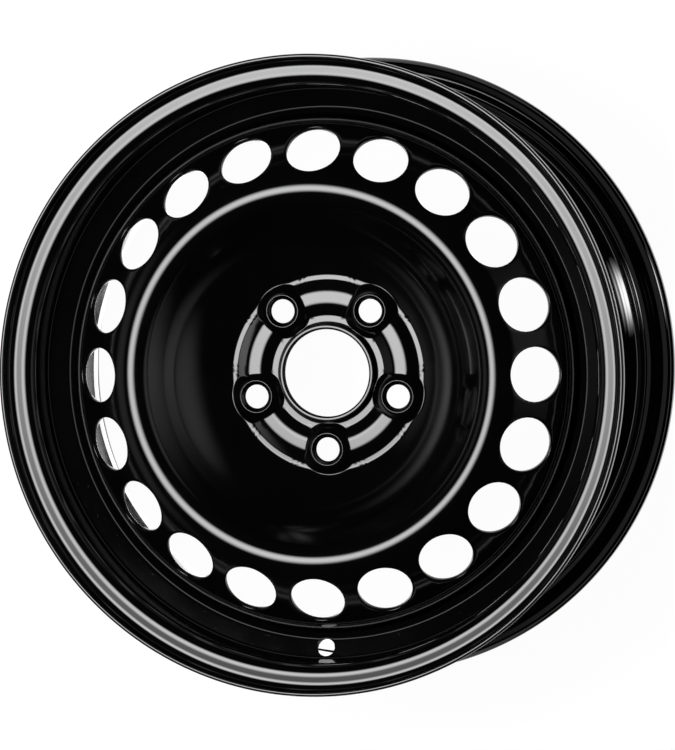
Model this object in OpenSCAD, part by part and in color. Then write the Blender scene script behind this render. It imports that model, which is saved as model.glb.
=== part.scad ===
// Steel car wheel: a roll-formed rim with a pressed disc welded into its well.
// It lies face up. Z is the wheel axis, and Z = 0 is the middle plane of the rim.

/* [Rim] */
// Width between the two bead faces
rim_width = 152.4; // [144:0.1:166]
// Diameter of the bead seats at the flanges
seat_diameter = 380.2; // [372:0.1:392]
// Thickness of the rim sheet
rim_sheet = 2.6; // [2.2:0.1:3]
// Height of the flanges above the bead seats
flange_height = 17.5; // [16.5:0.1:19]
// Width of a flange, from its bead face to its lip
flange_reach = 13; // [11.5:0.1:15]
// Radius of the flange curl on the tyre side
flange_curl = 8.6; // [8:0.1:10]
// Radius between bead seat and flange on the tyre side
heel_radius = 6.2; // [5:0.1:7.5]
// Taper of the bead seats, in degrees
seat_taper = 5; // [3:0.5:7]
// Distance from a bead face to the corner of the safety hump
hump_reach = 27; // [25:0.1:30]
// Length of the ramp on to the safety hump
hump_run = 8; // [7:0.1:10]
// Height of the hump's corner over the bead seat, before it is rounded
hump_corner = 3; // [2:0.1:4]
// Bend radius of the safety humps
hump_bend = 5; // [4:0.1:6]
// Depth of the well below the bead seats
well_depth = 19.5; // [17.5:0.1:21.5]
// Slope of the outboard well wall, in degrees from square to the axis
well_wall_angle = 20; // [15:0.5:26]
// Bend radius at the outboard corner of the well
well_bend = 9.4; // [7:0.1:11]
// Distance of the well's inboard corner behind the middle plane
well_end = 4; // [0:0.1:8]
// Height of the inboard ledge above the well
ledge_rise = 11; // [8:0.1:13]
// Distance of the ledge's corner behind the middle plane
ledge_start = 30; // [27:0.1:34]
// Bend radius of the ledge and the well's inboard corner
ledge_bend = 12; // [8:0.1:16]

/* [Valve hole] */
// Diameter of the valve hole
valve_diameter = 11.5; // [10:0.1:13]
// Depth of the valve hole's centre below the bead seats
valve_drop = 10.7; // [9.5:0.1:12]
// Direction of the valve hole round the wheel, in degrees
valve_bearing = -90; // [-180:1:180]

/* [Disc] */
// Thickness of the disc sheet
disc_sheet = 3.5; // [3:0.1:4]
// Distance of the hub face in front of the rim's middle plane
inset = 30; // [24:0.1:36]
// Diameter of the centre bore
bore_diameter = 57.1; // [54:0.1:60]
// Height of the turned-out bore collar over the hub face
collar_height = 8.6; // [7.5:0.1:10]
// Front radius at the foot of the bore collar
collar_bend = 1.9; // [1.2:0.1:2.5]
// Radius of the rounded tip of the bore collar
collar_tip = 1.3; // [0.5:0.1:1.4]
// Width of the flat ring beside the bore collar
inner_flat = 4; // [3:0.1:5]
// Width of the flat ring beside the bowl
outer_flat = 4; // [3:0.1:5]
// Height of the raised ring between the two flats
land_rise = 2.7; // [2:0.1:3.4]
// Share of the raised ring's width that each of its ramps takes
ramp_share = 0.33; // [0.28:0.01:0.36]
// Bend radius at the top corners of the raised ring
land_bend = 8; // [4:0.1:9]
// Bend radius at the foot of the raised ring
foot_bend = 3.9; // [3:0.1:5]
// Diameter of the corner between hub and bowl
hub_diameter = 129.8; // [126:0.1:136]
// Bend radius between hub and bowl
hub_bend = 4.6; // [3:0.1:6]
// Slope of the bowl beside the hub, in degrees
bowl_low_angle = 28; // [25:0.5:31]
// Slope of the bowl below the crest, in degrees
bowl_high_angle = 55; // [51:0.5:59]
// Bend radius of the bowl
bowl_bend = 100; // [60:1:120]
// Diameter of the crest's corner
crest_diameter = 233.7; // [225:0.1:242]
// Height of the crest's corner over the hub face
crest_height = 53.4; // [50:0.1:56]
// Bend radius of the crest
crest_bend = 12; // [5:0.1:14]
// Slope of the shoulder outside the crest, in degrees
shoulder_angle = 20; // [16:0.5:23]
// Width of the shoulder from the crest's corner to the vent slope
shoulder_width = 13.6; // [12:0.1:17]
// Bend radius between shoulder and vent slope
shoulder_bend = 27; // [10:0.5:40]
// Bend radius where the disc turns into its outer flange
flange_bend = 21; // [12:0.1:23]
// Reach of the outer flange behind the hub face
flange_end = 14; // [8:0.1:20]

/* [Vents] */
// Number of vent holes
vent_count = 20; // [12:1:22]
// Diameter of the vent holes
vent_diameter = 35.5; // [28:0.1:38]
// Slope of the sheet at the vent holes, in degrees
vent_angle = 37.5; // [35:0.5:42]
// Share of the sheet left beside a vent hole that lies on its crest side
vent_place = 0.63; // [0.5:0.01:0.7]

/* [Bolt seats] */
// Number of bolt holes
bolt_count = 5; // [3:1:5]
// Diameter of the bolt circle
bolt_circle = 100; // [98:0.1:104]
// Diameter of the bolt holes
bolt_diameter = 15.6; // [13:0.1:16.5]
// Direction of the first bolt hole, in degrees
bolt_bearing = -90; // [-180:1:180]
// Outer radius of the domed boss round a bolt hole
boss_radius = 24; // [22:0.1:26]
// Wall thickness of the boss
boss_wall = 4; // [3:0.1:4.5]
// Diameter of the ridge round the bolt seat
ridge_diameter = 20.4; // [18:0.1:22]
// Height of the ridge over the hub face
ridge_height = 8.8; // [8:0.1:10]
// Radius of the ball seat
ball_radius = 13; // [12:0.5:14]

/* [Welds] */
// Number of weld runs between disc and rim
weld_count = 8; // [4:1:10]
// Length of a weld run round the wheel, in degrees
weld_arc = 24; // [10:1:32]
// Leg of the weld
weld_leg = 3.2; // [2:0.1:3.4]

/* [Hidden] */
$fn = 96;

// Largest gap between a bend and the short lines that draw it
chord_gap = 0.04;
// Extra length of a tool that cuts right through a sheet
spare = 6;
// Largest share of a straight run that the bends at its ends may take
bend_share = 0.96;

face_z = rim_width / 2;
wall_z = face_z + rim_sheet / 2;
lip_z = face_z + flange_reach;
lip_r = seat_diameter / 2 + flange_height - rim_sheet / 2;
well_r = seat_diameter / 2 - well_depth - rim_sheet / 2;
hump_z = face_z - hump_reach;
hump_foot_z = hump_z + hump_run;
hump_r = seat_r(hump_z) + hump_corner;
well_top_z = hump_z - (hump_r - well_r) * tan(well_wall_angle);
valve_r = seat_diameter / 2 - valve_drop;
valve_z = hump_z - (hump_r - valve_r) * tan(well_wall_angle);

// The disc flange seats on the inside of the well
nest_r = well_r - rim_sheet / 2;
bore_r = bore_diameter / 2;
bolt_r = bolt_circle / 2;
hub_r = hub_diameter / 2;
crest_r = crest_diameter / 2;
dome_z = ridge_height - sqrt(pow(boss_radius, 2) - pow(ridge_diameter / 2, 2));
ball_z = ridge_height + sqrt(pow(ball_radius, 2) - pow(ridge_diameter / 2, 2));

// Corners of the disc's middle line, from the hub face
half = disc_sheet / 2;
inner_foot_r = bore_r + disc_sheet + collar_bend + inner_flat;
outer_foot_r = hub_r - outer_flat;
ramp = (outer_foot_r - inner_foot_r) * ramp_share;
hub_corner = [hub_r, half];
crest_corner = [crest_r, crest_height];
bowl_corner = meet(hub_corner, bowl_low_angle, crest_corner, bowl_high_angle);

shoulder_corner = crest_corner + shoulder_width * [1, -tan(shoulder_angle)];

// The vents lie on the slope between shoulder and rim
vent_width = vent_diameter * cos(vent_angle);
vent_r = crest_r + vent_width / 2 + (nest_r - crest_r - vent_width) * vent_place;
vent_spot = shoulder_corner + (vent_r - shoulder_corner[0]) * [1, -tan(vent_angle)];
flange_corner = meet(vent_spot, -vent_angle, [nest_r - half, 0], 90);

// Middle line of the bead seat at height z
function seat_r(z) = (seat_diameter - rim_sheet) / 2 - (face_z - z) * tan(seat_taper);

function along(angle) = [cos(angle), sin(angle)];
function left_of(angle) = [-sin(angle), cos(angle)];
function spot(corner) = [corner[0], corner[1]];
function heading(a, b) = atan2(b[1] - a[1], b[0] - a[0]);
function bent(corner, radius) = [corner[0], corner[1], radius];

// Angle turned at corner b, left turns positive
function turn(a, b, c) =
    let (change = heading(b, c) - heading(a, b))
    change > 180 ? change - 360 : change < -180 ? change + 360 : change;

// Crossing of the line through p at angle a with the line through q at angle b
function meet(p, a, q, b) =
    p + along(a) * cross(q - p, along(b)) / cross(along(a), along(b));

// Arc round corner b of a middle line, set off to the left by shift
function bend(a, b, c, shift) =
    let (
        way = heading(a, b),
        swing = turn(a, b, c),
        hand = sign(swing),
        radius = b[2],
        start = spot(b) - along(way) * radius * tan(abs(swing) / 2),
        centre = start + left_of(way) * hand * radius,
        steps = max(1, ceil(abs(swing) / (2 * acos(1 - chord_gap / radius))))
    )
    [for (k = [0 : steps])
        centre - left_of(way + swing * k / steps) * hand * (radius - hand * shift)];

// One side of a bent sheet. Each corner of the path is [radius, height, bend].
function side(path, shift) =
    let (last = len(path) - 1)
    [for (i = [0 : last]) each
        i == 0 ? [spot(path[0]) + left_of(heading(path[0], path[1])) * shift] :
        i == last ? [spot(path[last]) + left_of(heading(path[last - 1], path[last])) * shift] :
        bend(path[i - 1], path[i], path[i + 1], shift)];

// Length that the bend at corner b takes from the straight runs beside it
function tangent(a, b, c) = b[2] * tan(abs(turn(a, b, c)) / 2);

// The same path with every bend limited by the straight runs beside it
function eased(path) =
    let (
        last = len(path) - 1,
        inner = [1 : last - 1],
        takes = [0, each [for (i = inner) tangent(path[i - 1], path[i], path[i + 1])], 0],
        room = [for (i = [0 : last - 1]) bend_share * norm(spot(path[i + 1]) - spot(path[i]))],
        fits = [for (i = [0 : last - 1]) min(1, room[i] / (takes[i] + takes[i + 1]))]
    )
    [path[0],
     each [for (i = inner) bent(path[i], path[i][2] * min(fits[i - 1], fits[i]))],
     path[last]];

function backwards(points) = [for (i = [len(points) - 1 : -1 : 0]) points[i]];

// Section of a sheet of even thickness that follows a path
function sheet(path, thick) =
    concat(side(path, thick / 2), backwards(side(path, -thick / 2)));

// Two quarter rounds over the start of a sheet, from its right side to its left
function rounded_tip(path, thick, radius) =
    let (
        way = heading(path[1], path[0]),
        steps = ceil(90 / (2 * acos(1 - chord_gap / radius)))
    )
    [for (hand = [1, -1]) for (k = [1 : steps])
        spot(path[0]) + left_of(way) * hand * (thick / 2 - radius)
        + radius * along(way + hand * 90 * (hand > 0 ? 1 - k / steps : (k - 1) / steps))];

// Half of the rim from hump foot to lip, in the direction of the bead face
function rim_edge(hand) = [
    [seat_r(hump_foot_z), hand * hump_foot_z, hump_bend],
    [seat_r(wall_z), hand * wall_z, heel_radius + rim_sheet / 2],
    [lip_r, hand * wall_z, flange_curl - rim_sheet / 2],
    [lip_r, hand * lip_z, 0]];

rim_path = eased(concat(
    backwards(rim_edge(1)),
    [[hump_r, hump_z, hump_bend],
     [well_r, well_top_z, well_bend],
     [well_r, -well_end, ledge_bend],
     [well_r + ledge_rise, -ledge_start, ledge_bend],
     [hump_r, -hump_z, hump_bend]],
    rim_edge(-1)));

// The bore collar, the raised ring and the flats beside it, which lie on the hub face
hub_path = [
    [bore_r + half, collar_height - collar_tip, 0],
    [bore_r + half, half, collar_bend + half],
    [inner_foot_r, half, foot_bend],
    [inner_foot_r + ramp, half + land_rise, land_bend],
    [outer_foot_r - ramp, half + land_rise, land_bend],
    [outer_foot_r, half, foot_bend],
    bent(hub_corner, hub_bend)];

disc_path = eased(concat(
    hub_path,
    [bent(bowl_corner, bowl_bend),
     bent(crest_corner, crest_bend),
     bent(shoulder_corner, shoulder_bend),
     bent(flange_corner, flange_bend),
     [nest_r - half, -flange_end, 0]]));

// Space in front of the back of the hub, where the bosses may stand
hub_front = concat(
    side(eased(concat(hub_path, [bent(bowl_corner, 0)])), -half),
    [[bowl_corner[0], crest_height], [bore_r, crest_height]]);

module round_bolts() {
    for (k = [0 : bolt_count - 1])
        rotate([0, 0, bolt_bearing + k * 360 / bolt_count])
            translate([bolt_r, 0, 0])
                children();
}

module boss_domes() {
    intersection() {
        round_bolts() translate([0, 0, dome_z]) sphere(boss_radius);
        rotate_extrude() polygon(hub_front);
    }
}

module bolt_seats() {
    round_bolts() {
        translate([0, 0, dome_z]) sphere(boss_radius - boss_wall);
        translate([0, 0, ball_z]) sphere(ball_radius);
        cylinder(d = bolt_diameter, h = ridge_height + spare);
    }
}

module vent_cutters() {
    for (k = [0 : vent_count - 1])
        rotate([0, 0, bolt_bearing + k * 360 / vent_count])
            translate([vent_spot[0], 0, vent_spot[1]])
                rotate([0, vent_angle, 0])
                    cylinder(d = vent_diameter, h = disc_sheet + 2 * spare, center = true);
}

module rim_barrel() {
    color("#141416")
    difference() {
        rotate_extrude() polygon(sheet(rim_path, rim_sheet));
        rotate([0, 0, valve_bearing])
            translate([valve_r, 0, valve_z])
                rotate([0, -well_wall_angle, 0])
                    cylinder(d = valve_diameter, h = rim_sheet + spare, center = true);
    }
}

module wheel_disc() {
    color("#101012")
    translate([0, 0, inset])
    difference() {
        union() {
            rotate_extrude()
                polygon(concat(sheet(disc_path, disc_sheet), rounded_tip(disc_path, disc_sheet, collar_tip)));
            boss_domes();
        }
        bolt_seats();
        vent_cutters();
    }
}

module weld_beads() {
    color("#1c1c1e")
    for (k = [0 : weld_count - 1])
        rotate([0, 0, (k + 0.5) * 360 / weld_count - weld_arc / 2])
            translate([0, 0, inset - flange_end])
                rotate_extrude(angle = weld_arc)
                    intersection() {
                        translate([nest_r, 0]) circle(weld_leg);
                        translate([nest_r - weld_leg, -weld_leg]) square(weld_leg);
                    }
}

rim_barrel();
wheel_disc();
weld_beads();
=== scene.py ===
import math
import bmesh
import bpy
import numpy as np
from mathutils import Matrix, Vector


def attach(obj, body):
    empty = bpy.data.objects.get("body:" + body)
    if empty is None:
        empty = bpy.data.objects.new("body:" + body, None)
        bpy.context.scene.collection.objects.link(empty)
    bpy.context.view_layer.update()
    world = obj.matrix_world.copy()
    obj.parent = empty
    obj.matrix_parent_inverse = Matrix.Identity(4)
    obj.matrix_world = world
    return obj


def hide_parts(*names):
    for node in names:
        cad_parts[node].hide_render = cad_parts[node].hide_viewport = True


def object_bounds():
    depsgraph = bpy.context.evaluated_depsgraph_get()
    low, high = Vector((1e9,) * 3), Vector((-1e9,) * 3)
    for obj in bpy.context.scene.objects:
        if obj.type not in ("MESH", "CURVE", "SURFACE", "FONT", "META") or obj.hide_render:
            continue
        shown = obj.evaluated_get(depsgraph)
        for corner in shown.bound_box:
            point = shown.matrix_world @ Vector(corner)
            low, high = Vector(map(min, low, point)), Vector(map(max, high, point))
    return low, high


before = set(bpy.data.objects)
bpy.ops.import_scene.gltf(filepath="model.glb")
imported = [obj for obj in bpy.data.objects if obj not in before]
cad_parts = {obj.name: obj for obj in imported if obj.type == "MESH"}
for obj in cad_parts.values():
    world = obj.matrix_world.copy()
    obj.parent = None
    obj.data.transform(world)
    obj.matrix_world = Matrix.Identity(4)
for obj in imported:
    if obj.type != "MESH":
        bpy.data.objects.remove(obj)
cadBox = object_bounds()
print("frame loaded:", ", ".join(sorted(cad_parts)))

mm = 0.001   # the pieces' sizes are in millimetres, their meshes in metres

# How finely every surface is cut: lengths in millimetres, fineArc in degrees, the rest are counts
cut = {"edgeRow": 0.4, "shortRun": 1.5, "leastSteps": 3, "fineArc": 0.5, "fineRun": 0.5, "mergeGap": 0.002,
       "endSteps": 4, "holeSteps": 3, "patchRings": 5, "newtonSteps": 12}


# One side of a bent sheet. The middle line runs through corners (radius, height, bend): straight runs with a
# tangent arc at each corner. The side is that line moved square to itself by shift, left being positive.
def sheetSide(corners, shift, arcStep, runStep):
    spots = np.array(corners, float)
    leg = np.diff(spots[:, :2], axis=0)
    way = np.arctan2(leg[:, 1], leg[:, 0])
    ahead = np.stack([np.cos(way), np.sin(way)], 1)
    left = np.stack([-np.sin(way), np.cos(way)], 1)
    line = [spots[0, :2] + shift * left[0]]
    for i in range(1, len(spots)):
        if i < len(spots) - 1:
            swing = (way[i] - way[i - 1] + np.pi) % (2 * np.pi) - np.pi
            hand, radius = np.sign(swing), spots[i, 2]
            start = spots[i, :2] - ahead[i - 1] * radius * np.tan(abs(swing) / 2)
            steps = max(cut["leastSteps"], math.ceil(np.degrees(abs(swing)) / arcStep),
                        math.ceil(abs(swing) * radius / runStep))
            turned = way[i - 1] + swing * np.linspace(0, 1, steps + 1)
            centre = start + left[i - 1] * hand * radius
            arc = centre + np.stack([np.sin(turned), -np.cos(turned)], 1) * hand * (radius - hand * shift)
        else:
            arc = spots[i:, :2] + shift * left[i - 1]
        length = round(float(np.hypot(*(arc[0] - line[-1]))), 6)
        if length > cut["shortRun"]:    # a row close to each end keeps the straight run's shading straight
            edge = cut["edgeRow"] / length
            between = np.linspace(0, 1, math.ceil(length / runStep) + 1)[1:-1]
            shares = np.concatenate([[edge], between, [1 - edge]])
            line.extend(line[-1] + (arc[0] - line[-1]) * shares[:, None])
        line.extend(arc)
    return np.array(line)


# Both sides of a sheet, left and right of its middle line by half its thickness.
def sheetSides(corners, thick, arcStep, runStep):
    return (sheetSide(corners, shift, arcStep, runStep) for shift in (thick / 2, -thick / 2))


# Rounded end of a sheet: from the last point of one side round both corners of the cut edge to the other.
def cutEnd(sideA, sideB, outward, soft):
    across = (sideB - sideA) / np.linalg.norm(sideB - sideA)
    t = np.linspace(0, np.pi / 2, cut["endSteps"] + 1)[:, None]
    first = sideA + soft * (outward * np.sin(t) + across * (1 - np.cos(t)))
    second = sideB + soft * (outward * np.sin(t) - across * (1 - np.cos(t)))
    return np.concatenate([first[1:], second[::-1][:-1]])


# Points of a line whose radius and height lie between the limits.
def within(line, radii, heights=(-math.inf, math.inf)):
    r, z = line[:, 0], line[:, 1]
    return line[(r > radii[0]) & (r < radii[1]) & (z > heights[0]) & (z < heights[1])]


# Place in a list of the value nearest the wanted one.
def nearest(values, wanted):
    return int(np.argmin(abs(values - wanted)))


# Points of a profile (radius, height) turned to each angle: rows follow the profile, columns the angles.
def turnProfile(profile, angles):
    r, z = profile[:, :1], profile[:, 1:]
    return np.stack([r * np.cos(angles), r * np.sin(angles), z + 0 * angles], -1)


# Points turned about the wheel's axis by an angle.
def turnAbout(points, angle):
    c, s = math.cos(angle), math.sin(angle)
    return points @ np.array([[c, s, 0], [-s, c, 0], [0, 0, 1]])


# Quads between neighbouring rows and columns of a grid, its last column joined to the first where it is
# closed.
def gridFaces(rows, cols, closed):
    k, m = np.meshgrid(np.arange(rows - 1), np.arange(cols if closed else cols - 1), indexing="ij")
    n = (m + 1) % cols
    return np.stack([k * cols + m, k * cols + n, (k + 1) * cols + n, (k + 1) * cols + m], -1).reshape(-1, 4)


# Outline of a patch of a turned sheet: inner line, far side, outer line, near side, as one closed loop.
def patchOutline(side, angles):
    grid = turnProfile(side, angles)
    return np.concatenate([grid[0, :-1], grid[:-1, -1], grid[-1, :0:-1], grid[:0:-1, 0]])


# Grids of points become one closed mesh of quads; grids is a list of (rows x columns x 3 points, closed).
def buildPiece(name, grids, material, slotName, *nodes):
    points, faces, base = [], [], 0
    for grid, closed in grids:
        points.append(grid.reshape(-1, 3))
        faces.append(gridFaces(grid.shape[0], grid.shape[1], closed) + base)
        base += grid.shape[0] * grid.shape[1]
    mesh = bpy.data.meshes.new(name)
    mesh.from_pydata(np.concatenate(points) * mm, [], np.concatenate(faces).tolist())
    work = bmesh.new()
    work.from_mesh(mesh)
    bmesh.ops.remove_doubles(work, verts=work.verts, dist=cut["mergeGap"] * mm)
    bmesh.ops.recalc_face_normals(work, faces=work.faces)
    openEdges = sum(1 for e in work.edges if not e.is_manifold)
    work.to_mesh(mesh)
    work.free()
    mesh.polygons.foreach_set("use_smooth", np.ones(len(mesh.polygons), bool))
    mesh.materials.append(material)
    piece = bpy.data.objects.new(name, mesh)
    bpy.context.scene.collection.objects.link(piece)
    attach(piece, "root")
    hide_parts(*nodes)
    print(name, "faces:", len(mesh.polygons), "open edges:", openEdges)


# Larger of two heights with a soft joint: where they differ by less than soft, a parabola is added.
def softMax(a, b, soft):
    return np.maximum(a, b) + np.maximum(soft - np.abs(a - b), 0) ** 2 / (4 * soft)


# Smaller of two heights, with the same soft joint.
def softMin(a, b, soft):
    return -softMax(-a, -b, soft)


# Loops of a patch with a punched hole. A point of the patch is (a, b) in the plane square to the hole, and
# its height h along the hole is found where it meets the sheet, height = f(radius), by Newton steps.
def punchedPatch(front, back, denseFront, denseBack, angles, spot, tilt, radius, soft):
    ahead = np.array([math.cos(tilt), 0, -math.sin(tilt)])
    axis = np.array([math.sin(tilt), 0, math.cos(tilt)])
    sideways = np.array([0, 1, 0])
    place = np.array([spot[0], 0, spot[1]])
    shares = np.linspace(1 / cut["patchRings"], 1, cut["patchRings"])

    def onSheet(a, b, dense):
        order = np.argsort(dense[:, 0])
        r, z = dense[order, 0], dense[order, 1]
        slope = np.gradient(z, r)
        flat = place + a[:, None] * ahead + b[:, None] * sideways
        h = np.zeros_like(a)
        for _ in range(cut["newtonSteps"]):
            p = flat + h[:, None] * axis
            reach = np.hypot(p[:, 0], p[:, 1])
            step = axis[2] - np.interp(reach, r, slope) * p[:, 0] * axis[0] / reach
            h = h - (p[:, 2] - np.interp(reach, r, z)) / step
        return flat + h[:, None] * axis

    # rings between the outline and the hole's edge, on the sheet
    def sheetLoops(outline, bearing, dense):
        a, b = (outline - place) @ ahead, outline[:, 1]
        edgeA, edgeB = (radius + soft) * np.cos(bearing), (radius + soft) * np.sin(bearing)
        return [outline] + [onSheet(a + (edgeA - a) * s, b + (edgeB - b) * s, dense) for s in shares]

    # quarter round from the sheet into the wall of the hole
    def roundEdge(bearing, dense, hand):
        loops = []
        for t in np.linspace(0, np.pi / 2, cut["holeSteps"] + 1)[1:]:
            ring = radius + soft * (1 - math.sin(t))
            edge = onSheet(ring * np.cos(bearing), ring * np.sin(bearing), dense)
            loops.append(edge - hand * soft * (1 - math.cos(t)) * axis)
        return loops

    # the back keeps the front's bearings round the hole, so that the wall is straight
    outline = patchOutline(front, angles)
    bearing = np.arctan2(outline[:, 1], (outline - place) @ ahead)
    frontLoops = sheetLoops(outline, bearing, denseFront) + roundEdge(bearing, denseFront, 1)
    backLoops = sheetLoops(patchOutline(back, angles), bearing, denseBack) + roundEdge(bearing, denseBack, -1)
    return np.array(frontLoops + backLoops[::-1])


# sRGB hex to the linear colour that the shaders take
def hexColour(text):
    raw = np.array([int(text[i:i + 2], 16) for i in (1, 3, 5)]) / 255
    return (*np.where(raw <= 0.04045, raw / 12.92, ((raw + 0.055) / 1.055) ** 2.4), 1.0)


# Adds a node: a setting is a socket's name or number or a property, a link is socket: (node, its output).
def addNode(tree, kind, settings=(), links=()):
    made = tree.nodes.new(kind)
    for key, value in dict(settings).items():
        if isinstance(key, str) and hasattr(made, key) and key not in made.inputs:
            setattr(made, key, value)
        else:
            made.inputs[key].default_value = value
    for key, (source, output) in dict(links).items():
        tree.links.new(source.outputs[output], made.inputs[key])
    return made


# New material with an empty node tree
def emptyMaterial(name):
    material = bpy.data.materials.new(name)
    material.use_nodes = True
    material.node_tree.nodes.clear()
    return material, material.node_tree


# What all three paints share. Pairs are noise values between which specks and drifts come in, and heights in
# metres between which the barrel's roll marks come in.
paint = {"ior": 1.5, "peelDetail": 2.0, "driftDetail": 4.0, "driftRough": 0.6, "dustDetail": 1.0,
         "specks": (0.70, 0.80), "drifts": (0.35, 0.65), "markDetail": 1.0, "markHeights": (0.02, -0.02)}
# Sizes and depths in millimetres. Dust and roll marks are finer on the real paint: here they are drawn as
# coarse as they need to be to show.
# Rolled steel: the film lies smoothest there, so its reflections are the sharpest.
rimLook = {"deep": "#030304", "thin": "#080809", "gloss": 0.05, "dull": 0.09,
           "peelSize": 5.0, "peelDepth": 0.003, "driftSize": 60.0, "dustSize": 1.6, "speckDull": 0.12,
           "markSize": 6.0, "markDepth": 0.1, "markGloss": 0.48}
# Pressed steel: the same film with slightly softer reflections.
discLook = {"deep": "#030304", "thin": "#080809", "gloss": 0.07, "dull": 0.12,
            "peelSize": 4.0, "peelDepth": 0.003, "driftSize": 45.0, "dustSize": 1.4, "speckDull": 0.12,
            "markDepth": 0}
# Weld metal: a thinner film over a rough bead, which looks grainy and a little greyer.
weldLook = {"deep": "#08080a", "thin": "#131314", "gloss": 0.22, "dull": 0.40,
            "peelSize": 1.2, "peelDepth": 0.03, "driftSize": 9.0, "dustSize": 0.8, "speckDull": 0.2,
            "markDepth": 0}


# Gloss black dip paint on steel: one even film that flowed out smooth. It gives the eye clean soft rings of
# the light on deep black, a faint orange peel, a slightly duller film in broad drifts where it drained, and
# fine dust.
def dipPaint(name, look):
    material, tree = emptyMaterial(name)
    place = addNode(tree, "ShaderNodeTexCoord")
    where = {"Vector": (place, "Object")}
    peel = addNode(tree, "ShaderNodeTexNoise",
                   {"Scale": 1 / (look["peelSize"] * mm), "Detail": paint["peelDetail"]}, where)
    drift = addNode(tree, "ShaderNodeTexNoise",
                    {"Scale": 1 / (look["driftSize"] * mm), "Detail": paint["driftDetail"],
                     "Roughness": paint["driftRough"]}, where)
    dust = addNode(tree, "ShaderNodeTexNoise",
                   {"Scale": 1 / (look["dustSize"] * mm), "Detail": paint["dustDetail"]}, where)
    specks = addNode(tree, "ShaderNodeMapRange",
                     {"From Min": paint["specks"][0], "From Max": paint["specks"][1]},
                     {"Value": (dust, "Fac")})
    film = addNode(tree, "ShaderNodeMapRange",
                   {"From Min": paint["drifts"][0], "From Max": paint["drifts"][1],
                    "To Min": look["gloss"], "To Max": look["dull"]}, {"Value": (drift, "Fac")})
    rough = addNode(tree, "ShaderNodeMath", {"operation": "MULTIPLY_ADD", 1: look["speckDull"]},
                    {0: (specks, "Result"), 2: (film, "Result")})
    tone = addNode(tree, "ShaderNodeValToRGB", {}, {"Fac": (drift, "Fac")})
    tone.color_ramp.elements[0].color = hexColour(look["deep"])
    tone.color_ramp.elements[1].color = hexColour(look["thin"])
    bump = addNode(tree, "ShaderNodeBump", {"Strength": 1.0, "Distance": look["peelDepth"] * mm},
                   {"Height": (peel, "Fac")})
    if look["markDepth"]:   # the barrel behind the disc is glossier, with rings that the forming rolls left
        axes = addNode(tree, "ShaderNodeSeparateXYZ", {}, where)
        marks = addNode(tree, "ShaderNodeTexNoise",
                        {"noise_dimensions": "1D", "Scale": 1 / (look["markSize"] * mm),
                         "Detail": paint["markDetail"]}, {"W": (axes, "Z")})
        fade = addNode(tree, "ShaderNodeMapRange",
                       {"From Min": paint["markHeights"][0], "From Max": paint["markHeights"][1]},
                       {"Value": (axes, "Z")})
        share = addNode(tree, "ShaderNodeMapRange", {"To Min": 1.0, "To Max": look["markGloss"]},
                        {"Value": (fade, "Result")})
        rough = addNode(tree, "ShaderNodeMath", {"operation": "MULTIPLY"},
                        {0: (rough, "Value"), 1: (share, "Result")})
        height = addNode(tree, "ShaderNodeMath", {"operation": "MULTIPLY"},
                         {0: (marks, "Fac"), 1: (fade, "Result")})
        bump = addNode(tree, "ShaderNodeBump", {"Strength": 1.0, "Distance": look["markDepth"] * mm},
                       {"Height": (height, "Value"), "Normal": (bump, "Normal")})
    shader = addNode(tree, "ShaderNodeBsdfPrincipled", {"IOR": paint["ior"]},
                     {"Base Color": (tone, "Color"), "Roughness": (rough, "Value"),
                      "Normal": (bump, "Normal")})
    addNode(tree, "ShaderNodeOutputMaterial", {}, {"Surface": (shader, "BSDF")})
    return material


rimPaint = dipPaint("gloss black dip paint on rolled steel", rimLook)
discPaint = dipPaint("gloss black dip paint on pressed steel", discLook)
weldPaint = dipPaint("black dip paint over weld metal", weldLook)
print("materials made")

rim = {"width": 152.4, "seat": 380.2, "sheet": 2.6, "flangeHeight": 17.5, "flangeReach": 13.0, "curl": 8.6,
       "heel": 6.2, "taper": 5.0, "humpReach": 27.0, "humpRun": 8.0, "humpCorner": 3.0, "humpBend": 5.0,
       "wellDepth": 19.5, "wallAngle": 20.0, "wellBend": 9.4, "wellEnd": 4.0, "ledgeRise": 11.0,
       "ledgeStart": 30.0, "ledgeBend": 12.0, "lipSoft": 1.0,
       "valve": 11.5, "valveDrop": 10.7, "valveBearing": -90.0, "valveSoft": 0.45,
       # how the surface is cut, and where the valve hole's patch of the well's front wall begins and ends
       "arcStep": 6.0, "runStep": 7.0, "patchOuter": 186.9, "patchInner": 171.6, "patchHeights": (40.0, 55.0),
       "patchReach": 3.0, "patchColumns": 12, "restColumns": 236,
       "wallRadii": (169.5, 188.5), "wallHeights": (38.0, 55.0)}

faceZ = rim["width"] / 2
wallZ, lipZ = faceZ + rim["sheet"] / 2, faceZ + rim["flangeReach"]
lipR = rim["seat"] / 2 + rim["flangeHeight"] - rim["sheet"] / 2
wellR = rim["seat"] / 2 - rim["wellDepth"] - rim["sheet"] / 2
humpZ = faceZ - rim["humpReach"]
wallSlope = math.radians(rim["wallAngle"])


# Radius of the sheet's middle under the bead seat, which tapers in from the flange.
def seatR(z):
    return (rim["seat"] - rim["sheet"]) / 2 - (faceZ - z) * math.tan(math.radians(rim["taper"]))


humpR = seatR(humpZ) + rim["humpCorner"]
wellTopZ = humpZ - (humpR - wellR) * math.tan(wallSlope)


# Corners of one edge of the rim, from the hump's foot along the seat and up the flange to its lip.
def rimEdge(hand):
    foot = humpZ + rim["humpRun"]
    return [(seatR(foot), hand * foot, rim["humpBend"]),
            (seatR(wallZ), hand * wallZ, rim["heel"] + rim["sheet"] / 2),
            (lipR, hand * wallZ, rim["curl"] - rim["sheet"] / 2),
            (lipR, hand * (lipZ - rim["lipSoft"]), 0)]


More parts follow.
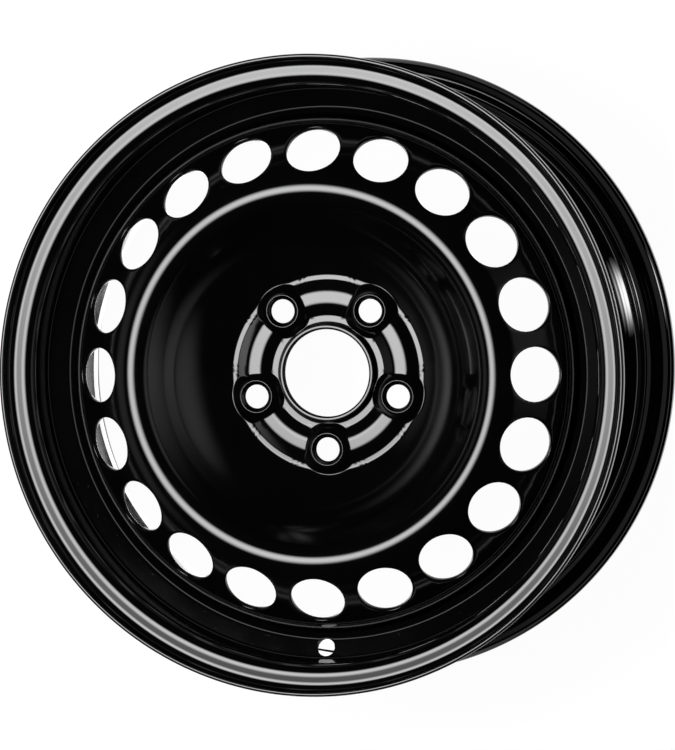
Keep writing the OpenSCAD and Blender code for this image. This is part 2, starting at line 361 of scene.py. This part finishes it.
rimPath = rimEdge(1)[::-1]
rimPath += [(humpR, humpZ, rim["humpBend"]), (wellR, wellTopZ, rim["wellBend"]),
            (wellR, -rim["wellEnd"], rim["ledgeBend"]),
            (wellR + rim["ledgeRise"], -rim["ledgeStart"], rim["ledgeBend"]),
            (humpR, -humpZ, rim["humpBend"])]
rimPath += rimEdge(-1)


# Rim: the bent sheet's section turned round the axis, with a patch for the valve hole in the front wall of
# the well.
def makeRim():
    tyreSide, axleSide = sheetSides(rimPath, rim["sheet"], rim["arcStep"], rim["runStep"])
    denseTyre, denseAxle = (within(line, rim["wallRadii"], rim["wallHeights"])
                            for line in sheetSides(rimPath, rim["sheet"], cut["fineArc"], cut["fineRun"]))
    middle = (tyreSide + axleSide) / 2
    low, high = rim["patchHeights"]
    wall = np.flatnonzero((middle[:, 1] > low) & (middle[:, 1] < high))
    first = wall[nearest(middle[wall, 0], rim["patchOuter"])]
    last = wall[nearest(middle[wall, 0], rim["patchInner"])]
    near = math.radians(rim["patchReach"])
    patchAngles = np.linspace(-near, near, rim["patchColumns"] + 1)
    restAngles = np.linspace(near, 2 * np.pi - near, rim["restColumns"] + 1)
    fullAngles = np.concatenate([restAngles, patchAngles[1:-1] + 2 * np.pi])
    frontCap = cutEnd(tyreSide[0], axleSide[0], np.array([0, 1]), rim["lipSoft"])
    rearCap = cutEnd(tyreSide[-1], axleSide[-1], np.array([0, -1]), rim["lipSoft"])
    head = np.concatenate([axleSide[:first + 1][::-1], frontCap[::-1], tyreSide[:first + 1]])
    tail = np.concatenate([tyreSide[last:], rearCap, axleSide[last:][::-1]])
    wallAxle, wallTyre = axleSide[first:last + 1], tyreSide[first:last + 1]
    valveR = rim["seat"] / 2 - rim["valveDrop"]
    spot = (valveR, humpZ - (humpR - valveR) * math.tan(wallSlope))
    patch = punchedPatch(wallAxle[::-1], wallTyre[::-1], denseAxle, denseTyre, patchAngles, spot,
                         -wallSlope, rim["valve"] / 2, rim["valveSoft"])
    grids = [(turnProfile(head, fullAngles), True), (turnProfile(tail, fullAngles), True), (patch, True),
             (turnProfile(wallAxle, restAngles), False), (turnProfile(wallTyre, restAngles), False)]
    grids = [(turnAbout(g, math.radians(rim["valveBearing"])), c) for g, c in grids]
    buildPiece("rolled_rim", grids, rimPaint, "rim_paint", "rim_barrel")


disc = {"sheet": 3.5, "inset": 30.0, "bore": 57.1, "collarHeight": 8.6, "collarBend": 1.9, "collarTip": 1.3,
        "innerFlat": 4.0, "outerFlat": 4.0, "landRise": 2.7, "rampShare": 0.33, "landBend": 8.0,
        "footBend": 3.9, "hub": 129.8, "hubBend": 4.6, "bowlLow": 28.0, "bowlHigh": 55.0, "bowlBend": 100.0,
        "crest": 233.7, "crestHeight": 53.4, "crestBend": 12.0, "shoulder": 20.0, "shoulderWidth": 13.6,
        "shoulderBend": 27.0, "flangeBend": 21.0, "flangeEnd": 14.0, "cutSoft": 0.7,
        "vents": 20, "vent": 35.5, "ventAngle": 37.5, "ventPlace": 0.63, "ventSoft": 0.7,
        "bolts": 5, "boltCircle": 100.0, "bolt": 15.6, "bearing": -90.0, "bossRadius": 24.0, "bossWall": 4.0,
        "ridge": 20.4, "ridgeHeight": 8.8, "ball": 13.0, "ridgeSoft": 1.0, "footSoft": 0.8, "boltSoft": 0.3,
        "hollowSoft": 0.5,
        # how the surface is cut, and the radii where the hub, the vents' patches and the slope begin and end
        "arcStep": 6.0, "runStep": 5.5, "columns": 240, "collarGap": 0.15, "hubEdge": 72.0, "hubRadius": 80.0,
        "ventInner": 127.5, "ventOuter": 161.8, "ventColumns": 12, "slopeRadii": (122.5, 165.9),
        "slopeFloor": 5.0,
        # the bolts' patches: half their angle, and rings (from, to, count) at distances from the bolt
        "boltReach": 24.0, "boltColumns": 32, "stripColumns": 16, "bossFoot": 17.65, "footRings": 14,
        "footGather": 1.3, "bossRings": ((17.4, 14.0, 8), (13.2, 11.2, 3), (10.8, 9.6, 6)), "seatRing": 9.1,
        "seatRings": 3, "seatReach": 12.5, "hollowRings": (9.3, 16.8, 6), "backSteps": 3}


# Crossing of the line through p at slope a with the line through q at slope b, both in degrees.
def meet(p, a, q, b):
    u, v = (np.array([math.cos(math.radians(x)), math.sin(math.radians(x))]) for x in (a, b))
    gap = np.array(q) - np.array(p)
    return np.array(p) + u * (gap[0] * v[1] - gap[1] * v[0]) / (u[0] * v[1] - u[1] * v[0])


# Corners of the disc's middle line with their bends, and the vents' middle on the slope outside the shoulder.
def discCorners():
    half, nest = disc["sheet"] / 2, wellR - rim["sheet"] / 2
    bore = disc["bore"] / 2 + half
    innerFoot = disc["bore"] / 2 + disc["sheet"] + disc["collarBend"] + disc["innerFlat"]
    outerFoot = disc["hub"] / 2 - disc["outerFlat"]
    ramp = (outerFoot - innerFoot) * disc["rampShare"]
    landTop = half + disc["landRise"]
    hub, crest = (disc["hub"] / 2, half), (disc["crest"] / 2, disc["crestHeight"])
    bowl = meet(hub, disc["bowlLow"], crest, disc["bowlHigh"])
    shoulder = (crest[0] + disc["shoulderWidth"],
                crest[1] - disc["shoulderWidth"] * math.tan(math.radians(disc["shoulder"])))
    slope = math.radians(disc["ventAngle"])
    ventWidth = disc["vent"] * math.cos(slope)
    ventR = crest[0] + ventWidth / 2 + (nest - crest[0] - ventWidth) * disc["ventPlace"]
    vent = (ventR, shoulder[1] - (ventR - shoulder[0]) * math.tan(slope))
    flange = meet(vent, -disc["ventAngle"], (nest - half, 0), 90)
    corners = [(bore, disc["collarHeight"] - disc["collarTip"], 0), (bore, half, disc["collarBend"] + half),
               (innerFoot, half, disc["footBend"]), (innerFoot + ramp, landTop, disc["landBend"]),
               (outerFoot - ramp, landTop, disc["landBend"]), (outerFoot, half, disc["footBend"]),
               (*hub, disc["hubBend"]), (*bowl, disc["bowlBend"]), (*crest, disc["crestBend"]),
               (*shoulder, disc["shoulderBend"]), (*flange, disc["flangeBend"]),
               (nest - half, -disc["flangeEnd"] + disc["cutSoft"], 0)]
    return corners, vent


# Disc: the bent sheet's section turned round the axis. Round each bolt the sheet rises in a dome, round each
# vent it is punched, and both are patches of closed loops let into the turned surface.
def makeDisc():
    corners, vent = discCorners()
    front, back = sheetSides(corners, disc["sheet"], disc["arcStep"], disc["runStep"])
    denseFront, denseBack = sheetSides(corners, disc["sheet"], cut["fineArc"], cut["fineRun"])
    middle = (front + back) / 2
    hubFirst = nearest(front[:, 0], disc["bore"] / 2 + disc["sheet"] + disc["collarGap"])
    hubLast = nearest(middle[:, 0], disc["hubEdge"])
    ventFirst = nearest(middle[:, 0], disc["ventInner"])
    ventLast = nearest(middle[:, 0], disc["ventOuter"])
    angles = np.linspace(0, 2 * np.pi, disc["columns"] + 1)[:-1]
    boreCap = cutEnd(front[0], back[0], np.array([0, 1]), disc["collarTip"])
    rimCap = cutEnd(front[-1], back[-1], np.array([0, -1]), disc["cutSoft"])
    collar = np.concatenate([front[:hubFirst + 1][::-1], boreCap, back[:hubFirst + 1]])
    flange = np.concatenate([front[ventLast:], rimCap, back[ventLast:][::-1]])
    grids = [(turnProfile(collar, angles), True), (turnProfile(flange, angles), True)]
    grids += [(turnProfile(side[hubLast:ventFirst + 1], angles), True) for side in (front, back)]

    slopeFront, slopeBack = (within(line, disc["slopeRadii"], (disc["slopeFloor"], math.inf))
                             for line in (denseFront, denseBack))
    halfVent = np.pi / disc["vents"]
    ventAngles = np.linspace(-halfVent, halfVent, disc["ventColumns"] + 1)
    ventPatch = punchedPatch(front[ventFirst:ventLast + 1], back[ventFirst:ventLast + 1],
                             slopeFront, slopeBack, ventAngles, vent, math.radians(disc["ventAngle"]),
                             disc["vent"] / 2, disc["ventSoft"])
    grids += [(turnAbout(ventPatch, 2 * np.pi * k / disc["vents"]), True) for k in range(disc["vents"])]

    # bolt patches span twice boltReach of every pitch, plain strips of the hub lie between them
    reach, pitch = math.radians(disc["boltReach"]), 2 * np.pi / disc["bolts"]
    patchAngles = np.linspace(-reach, reach, disc["boltColumns"] + 1)
    stripAngles = np.linspace(reach, pitch - reach, disc["stripColumns"] + 1)
    hubFront, hubBack = front[hubFirst:hubLast + 1], back[hubFirst:hubLast + 1]
    bossPatch = bossLoops(hubFront, hubBack, denseFront, denseBack, patchAngles)
    for k in range(disc["bolts"]):
        grids.append((turnAbout(bossPatch, pitch * k), True))
        grids += [(turnAbout(turnProfile(side, stripAngles), pitch * k), False)
                  for side in (hubFront, hubBack)]
    raised = np.array([0, 0, disc["inset"]])
    grids = [(turnAbout(g, math.radians(disc["bearing"])) + raised, c) for g, c in grids]
    buildPiece("pressed_disc", grids, discPaint, "disc_paint", "wheel_disc")


# Heights round one bolt at distance d from it: the hub sheet or a ball dome, whichever is higher, then the
# ball seat where that is lower. Behind it a smaller ball is hollowed out of the dome.
def bossLoops(front, back, denseFront, denseBack, angles):
    bolt = np.array([disc["boltCircle"] / 2, 0.0])
    domeZ = disc["ridgeHeight"] - math.sqrt(disc["bossRadius"] ** 2 - (disc["ridge"] / 2) ** 2)
    ballZ = disc["ridgeHeight"] + math.sqrt(disc["ball"] ** 2 - (disc["ridge"] / 2) ** 2)
    holeR, soft, inside = disc["bolt"] / 2, disc["boltSoft"], disc["bossRadius"] - disc["bossWall"]
    aboveAll, pastCollar = 99.0, 0.01
    frontLine, backLine = (within(line, (line[0, 0] + pastCollar, disc["hubRadius"]))
                           for line in (denseFront, denseBack))

    def onFront(p):
        d = np.hypot(p[:, 0] - bolt[0], p[:, 1])
        sheet = np.interp(np.hypot(p[:, 0], p[:, 1]), frontLine[:, 0], frontLine[:, 1])
        dome = domeZ + np.sqrt(np.maximum(disc["bossRadius"] ** 2 - d ** 2, 0))
        ball = ballZ - np.sqrt(np.maximum(disc["ball"] ** 2 - d ** 2, 0))
        seat = np.where(d < disc["seatReach"], ball, aboveAll)
        return softMin(softMax(sheet, dome, disc["footSoft"]), seat, disc["ridgeSoft"])

    def onBack(p):
        d = np.hypot(p[:, 0] - bolt[0], p[:, 1])
        sheet = np.interp(np.hypot(p[:, 0], p[:, 1]), backLine[:, 0], backLine[:, 1])
        hollow = domeZ + np.sqrt(np.maximum(inside ** 2 - d ** 2, 0))
        return softMax(sheet, hollow, disc["hollowSoft"])

    def ring(d, bearing):
        return bolt + d * np.stack([np.cos(bearing), np.sin(bearing)], 1)

    def lifted(p, height):
        return np.concatenate([p, height[:, None]], 1)

    outFront, outBack = patchOutline(front, angles), patchOutline(back, angles)
    bearing = np.arctan2(outFront[:, 1], outFront[:, 0] - bolt[0])
    edge = holeR + soft
    loops = [outFront]
    # from the outline in to the dome's foot, closer together towards the foot
    for share in np.linspace(1, 0, disc["footRings"] + 1)[1:] ** disc["footGather"]:
        p = ring(disc["bossFoot"], bearing) * (1 - share) + outFront[:, :2] * share
        loops.append(lifted(p, onFront(p)))
    # over the dome and down the seat to the hole's edge
    spans = (*disc["bossRings"], (disc["seatRing"], edge, disc["seatRings"]))
    for d in np.concatenate([np.linspace(*span) for span in spans]):
        p = ring(d, bearing)
        loops.append(lifted(p, onFront(p)))
    # round both edges of the hole
    top, low = onFront(ring(edge, bearing)), onBack(ring(edge, bearing))
    for t in (np.pi / 4, np.pi / 2):
        loops.append(lifted(ring(holeR + soft * (1 - math.sin(t)), bearing), top - soft * (1 - math.cos(t))))
    for t in (np.pi / 2, np.pi / 4):
        loops.append(lifted(ring(holeR + soft * (1 - math.sin(t)), bearing), low + soft * (1 - math.cos(t))))
    # behind, out over the hollow to the outline
    for d in np.concatenate([[edge], np.linspace(*disc["hollowRings"])]):
        p = ring(d, bearing)
        loops.append(lifted(p, onBack(p)))
    for share in np.linspace(0, 1, disc["backSteps"] + 1)[1:-1]:
        p = ring(disc["hollowRings"][1], bearing) * (1 - share) + outBack[:, :2] * share
        loops.append(lifted(p, onBack(p)))
    loops.append(outBack)
    return np.array(loops)


weld = {"runs": 8, "arc": 24.0, "leg": 3.2, "ripple": 0.22, "rippleEvery": 1.3, "endLeast": 0.02,
        "columns": 120, "rows": 10}


# Weld: a quarter round in the corner behind the disc's edge, carried round the rim; its face ripples like
# laid metal and both ends taper into rounded crater ends.
def makeWelds():
    nest, floorZ = wellR - rim["sheet"] / 2, disc["inset"] - disc["flangeEnd"]
    u, v = np.linspace(0, 1, weld["columns"] + 1), np.linspace(0, 1, weld["rows"] + 1)
    arc = math.radians(weld["arc"])
    along = u * arc * nest
    toEnd = np.minimum(along, along[::-1]) / weld["leg"]
    taper = np.sqrt(np.clip(1 - (1 - toEnd).clip(0) ** 2, weld["endLeast"], 1))
    ripples = 0.5 + 0.5 * np.cos(2 * np.pi * along / weld["rippleEvery"])
    size = weld["leg"] * taper * (1 - weld["ripple"] / weld["leg"] * ripples)
    turn = v * np.pi / 2
    r = nest - size[None, :] * np.cos(turn)[:, None]
    z = floorZ - size[None, :] * np.sin(turn)[:, None]
    face = np.stack([r * np.cos(u * arc), r * np.sin(u * arc), z], -1)
    corner = np.stack([nest * np.cos(u * arc), nest * np.sin(u * arc), 0 * u + floorZ], -1)[None]
    run = np.concatenate([corner, face, corner]).transpose(1, 0, 2)
    grids = []
    for k in range(weld["runs"]):
        turned = turnAbout(run, (k + 0.5) * 2 * np.pi / weld["runs"] - arc / 2)
        caps = [np.stack([turned[e], np.repeat(turned[e][:1], turned.shape[1], 0)]) for e in (0, -1)]
        grids += [(turned, False)] + [(cap, False) for cap in caps]
    buildPiece("disc_welds", grids, weldPaint, "weld_paint", "weld_beads")


makeRim()
makeDisc()
makeWelds()

# Studio sizes are in metres. A lamp's face is an ellipse that fades out smoothly towards its edge:
# brightness = 1 / (1 + exp((d - plateau) / fade)) - rest, with d the distance from its middle over half its
# size. Its back faces along backTo.
overhead = {"place": (-0.259, 0.081, 1.141), "backTo": (0.0, 0.0, 1.0), "wide": 1.6, "high": 1.536,
            "radiance": 16.2, "plateau": 0.36, "fade": 0.1025, "rest": 0.09, "glossOnly": False}
beside = {"place": (2.295, 0.405, 0.68), "backTo": (0.946, 0.167, 0.28), "wide": 5.7, "high": 1.6,
          "radiance": 0.6, "plateau": 0.55, "fade": 0.13, "rest": 0.03, "glossOnly": False}
barrelStrip = {"place": (0.2415, 0.0647, -0.078), "backTo": (0.966, 0.259, 0.0), "wide": 0.08, "high": 0.016,
               "radiance": 17.0, "plateau": 0.5, "fade": 0.13, "rest": 0.02, "glossOnly": True}
leftFill = {"place": (-1.706, -0.178, 1.03), "backTo": (-0.853, -0.089, 0.515), "wide": 3.4, "high": 1.3,
            "radiance": 0.32, "plateau": 0.55, "fade": 0.13, "rest": 0.03, "glossOnly": True}
valvePlate = {"place": (-0.04, -0.26, -0.0885), "backTo": (0.0, 0.0, -1.0), "wide": 0.13, "high": 0.13,
              "radiance": 4.5, "plateau": 0.75, "fade": 0.07, "rest": 0.02, "glossOnly": True}
valveSpot = {"place": (-0.0576, -0.211, 0.02), "backTo": (0.0, 0.0, 1.0), "wide": 0.028, "high": 0.028,
             "radiance": 27.0, "plateau": 0.85, "fade": 0.05, "rest": 0.02, "glossOnly": True}
lamps = {"overhead softbox": overhead, "softbox beside the wheel": beside,
         "strip beside the barrel": barrelStrip, "fill from the left": leftFill,
         "light plate behind the valve hole": valvePlate, "small lamp over the rear flange": valveSpot}
studio = {"room": "#141414", "floorGlow": 0.97, "floorPale": "#525252", "floorSize": 80.0}


# Soft lamp whose middle has the given radiance: power is radiance times pi times the area of its elliptic
# face. A lamp marked glossOnly is met by reflections alone.
def addLamp(name, look):
    lamp = bpy.data.lights.new(name, "AREA")
    lamp.shape, lamp.size, lamp.size_y = "ELLIPSE", look["wide"], look["high"]
    lamp.energy = look["radiance"] * math.pi * math.pi / 4 * look["wide"] * look["high"]
    holder = bpy.data.objects.new(name, lamp)
    turned = Vector(look["backTo"]).to_track_quat("Z", "Y").to_euler()
    holder.location, holder.rotation_euler, holder.visible_camera = look["place"], turned, False
    holder.visible_diffuse = not look["glossOnly"]
    bpy.context.scene.collection.objects.link(holder)
    lamp.use_nodes = True
    tree = lamp.node_tree
    tree.nodes.clear()
    face = addNode(tree, "ShaderNodeNewGeometry")
    spot = addNode(tree, "ShaderNodeMapping",
                   {"vector_type": "TEXTURE", "Location": look["place"], "Rotation": turned,
                    "Scale": (look["wide"] / 2, look["high"] / 2, 1)}, {"Vector": (face, "Position")})
    away = addNode(tree, "ShaderNodeVectorMath", {"operation": "LENGTH"}, {0: (spot, "Vector")})
    past = addNode(tree, "ShaderNodeMath", {"operation": "SUBTRACT", 1: look["plateau"]},
                   {0: (away, "Value")})
    steps = addNode(tree, "ShaderNodeMath", {"operation": "DIVIDE", 1: look["fade"]}, {0: (past, "Value")})
    growth = addNode(tree, "ShaderNodeMath", {"operation": "EXPONENT"}, {0: (steps, "Value")})
    whole = addNode(tree, "ShaderNodeMath", {"operation": "ADD", 1: 1.0}, {0: (growth, "Value")})
    level = addNode(tree, "ShaderNodeMath", {"operation": "DIVIDE", 0: 1.0}, {1: (whole, "Value")})
    level = addNode(tree, "ShaderNodeMath", {"operation": "SUBTRACT", "use_clamp": True, 1: look["rest"]},
                    {0: (level, "Value")})
    glow = addNode(tree, "ShaderNodeEmission", {}, {"Strength": (level, "Value")})
    addNode(tree, "ShaderNodeOutputLight", {}, {"Surface": (glow, "Emission")})


# Lamps, a dim room and a flat floor at the height of the wheel's lowest point.
def makeStudio():
    for name, look in lamps.items():
        addLamp(name, look)
    world = bpy.data.worlds.new("dim studio room")
    world.use_nodes = True
    world.node_tree.nodes["Background"].inputs["Color"].default_value = hexColour(studio["room"])
    bpy.context.scene.world = world

    # pale floor: it glows for the eye and in reflections, and its matt part keeps the wheel's shadow
    paper, tree = emptyMaterial("white studio paper")
    path = addNode(tree, "ShaderNodeLightPath")
    seen = addNode(tree, "ShaderNodeMath", {"operation": "MAXIMUM"},
                   {0: (path, "Is Camera Ray"), 1: (path, "Is Glossy Ray")})
    seen = addNode(tree, "ShaderNodeMath", {"operation": "MAXIMUM"},
                   {0: (seen, "Value"), 1: (path, "Is Transmission Ray")})
    glow = addNode(tree, "ShaderNodeMath", {"operation": "MULTIPLY", 1: studio["floorGlow"]},
                   {0: (seen, "Value")})
    light = addNode(tree, "ShaderNodeEmission", {}, {"Strength": (glow, "Value")})
    matt = addNode(tree, "ShaderNodeBsdfDiffuse", {"Color": hexColour(studio["floorPale"])})
    both = addNode(tree, "ShaderNodeAddShader", {}, {0: (light, "Emission"), 1: (matt, "BSDF")})
    addNode(tree, "ShaderNodeOutputMaterial", {}, {"Surface": (both, "Shader")})
    half, low = studio["floorSize"] / 2, cadBox[0].z
    corners = [(-half, -half, low), (half, -half, low), (half, half, low), (-half, half, low)]
    mesh = bpy.data.meshes.new("studio_floor")
    mesh.from_pydata(corners, [], [(0, 1, 2, 3)])
    mesh.materials.append(paper)
    floor = bpy.data.objects.new("studio_floor", mesh)
    bpy.context.scene.collection.objects.link(floor)


# Cards that only the gloss meets: a standing and a lying grey one to the right of the wheel, a faintly
# glowing black one just inside the standing one, a round grey one behind the hub, and under the left vents a
# glowing strip and two black ones. The glows are painted light and the black strips painted shade, shown only
# in the wheel's
# reflections: the glows give the rear flange a grey band and the left vents their white, the black strips
# dark lines across that white. Reaches are in degrees from the right.
cards = {"tone": "#707070", "blackTone": "#050505", "lift": 0.0005, "columns": 64,
         "radius": 0.255, "top": 0.07, "topFull": 0.025, "reach": 90.0, "reachFull": 55.0,
         "footFrom": 0.209, "footTo": 0.232, "hubRadius": 0.075, "hubTop": 0.024,
         "hubReach": 180.0, "hubReachFull": 179.9, "ventReach": 115.0, "ventReachFull": 130.0,
         "ventFrom": 0.139, "ventTo": 0.175, "ventGlow": 4.5,
         "blackStrips": ((0.1155, 0.1195), (0.131, 0.139)),
         "flangeFrom": -0.06, "flangeTo": 0.015, "flangeGap": 0.001, "flangeGlow": 0.3}


# Matt card that is solid inside one reach and thins out to clear at the other, and likewise towards its top.
# Where the card is given a glow, that glow is painted light, met only in reflections.
def cardPaper(clearAt, solidAt, colour, lit):
    paper, tree = emptyMaterial("matt studio card")
    place = addNode(tree, "ShaderNodeTexCoord")
    axes = addNode(tree, "ShaderNodeSeparateXYZ", {}, {"Vector": (place, "Object")})
    bearing = addNode(tree, "ShaderNodeMath", {"operation": "ARCTAN2"}, {0: (axes, "Y"), 1: (axes, "X")})
    aside = addNode(tree, "ShaderNodeMath", {"operation": "ABSOLUTE"}, {0: (bearing, "Value")})
    ends = addNode(tree, "ShaderNodeMapRange", {"From Min": clearAt, "From Max": solidAt},
                   {"Value": (aside, "Value")})
    rise = addNode(tree, "ShaderNodeMapRange", {"From Min": cards["top"], "From Max": cards["topFull"]},
                   {"Value": (axes, "Z")})
    thick = addNode(tree, "ShaderNodeMath", {"operation": "MULTIPLY"},
                    {0: (ends, "Result"), 1: (rise, "Result")})
    clear = addNode(tree, "ShaderNodeBsdfTransparent")
    matt = addNode(tree, "ShaderNodeBsdfDiffuse", {"Color": hexColour(colour)})
    glow = addNode(tree, "ShaderNodeEmission", {"Strength": lit})
    face = addNode(tree, "ShaderNodeAddShader", {}, {0: (matt, "BSDF"), 1: (glow, "Emission")})
    both = addNode(tree, "ShaderNodeMixShader", {},
                   {0: (thick, "Value"), 1: (clear, "BSDF"), 2: (face, "Shader")})
    addNode(tree, "ShaderNodeOutputMaterial", {}, {"Surface": (both, "Shader")})
    return paper


# Card: a short line (radius, height) turned about the wheel's axis, round the right or round the left.
def addCard(name, reach, full, colour, lit, line):
    clearAt, solidAt = math.radians(reach), math.radians(full)
    start, end = (-clearAt, clearAt) if solidAt < clearAt else (clearAt, 2 * math.pi - clearAt)
    points = turnProfile(np.array(line), np.linspace(start, end, cards["columns"] + 1))
    mesh = bpy.data.meshes.new(name)
    mesh.from_pydata(points.reshape(-1, 3), [], gridFaces(*points.shape[:2], False).tolist())
    mesh.materials.append(cardPaper(clearAt, solidAt, colour, lit))
    card = bpy.data.objects.new(name, mesh)
    card.visible_camera = card.visible_diffuse = card.visible_shadow = False
    bpy.context.scene.collection.objects.link(card)


# All the cards, each from its reach, tone, glow and line.
def makeCards():
    low, flangeR = cadBox[0].z + cards["lift"], cards["radius"] - cards["flangeGap"]
    right, left = (cards["reach"], cards["reachFull"]), (cards["ventReach"], cards["ventReachFull"])
    allRound = (cards["hubReach"], cards["hubReachFull"])
    grey, black = cards["tone"], cards["blackTone"]
    addCard("side_card", *right, grey, 0, [[cards["radius"], low], [cards["radius"], cards["top"]]])
    addCard("foot_card", *right, grey, 0, [[cards["footFrom"], low], [cards["footTo"], low]])
    addCard("hub_card", *allRound, grey, 0, [[0.0, cards["hubTop"]], [cards["hubRadius"], cards["hubTop"]]])
    # its glow is painted light: it whitens what the reflections show through the left vents
    addCard("vent_card", *left, grey, cards["ventGlow"], [[cards["ventFrom"], low], [cards["ventTo"], low]])
    # its faint glow is painted light: a soft grey band in the rear flange's reflection
    addCard("flange_card", *right, black, cards["flangeGlow"],
            [[flangeR, cards["flangeFrom"]], [flangeR, cards["flangeTo"]]])
    # the two black strips are painted shade: dark lines across the reflections seen through the left vents
    for k, (near, far) in enumerate(cards["blackStrips"]):
        addCard(f"black_card_{k + 1}", *left, black, 0, [[near, low], [far, low]])


# Camera of the photograph: its axes and place in the wheel's frame, for an image of 675 x 750
view = {"right": (0.970204, -0.010486, -0.242062), "up": (0.001039, 0.999234, -0.039122),
        "back": (0.242287, 0.037705, 0.969472), "place": (0.91717, 0.14024, 3.67828),
        "lens": 276.02, "sensor": 36.0, "near": 0.1, "far": 200.0}


# The camera's matrix has right, up, back and place as its columns.
def makeCamera():
    lens = bpy.data.cameras.new("camera")
    lens.sensor_width, lens.lens = view["sensor"], view["lens"]
    lens.clip_start, lens.clip_end = view["near"], view["far"]
    camera = bpy.data.objects.new("camera", lens)
    axes = [view["right"], view["up"], view["back"], view["place"]]
    camera.matrix_world = Matrix([[a[i] for a in axes] for i in range(3)] + [[0, 0, 0, 1]])
    bpy.context.scene.collection.objects.link(camera)
    bpy.context.scene.camera = camera


makeStudio()
makeCards()
makeCamera()
bpy.context.scene.view_settings.view_transform = "Standard"
print("studio and camera set")
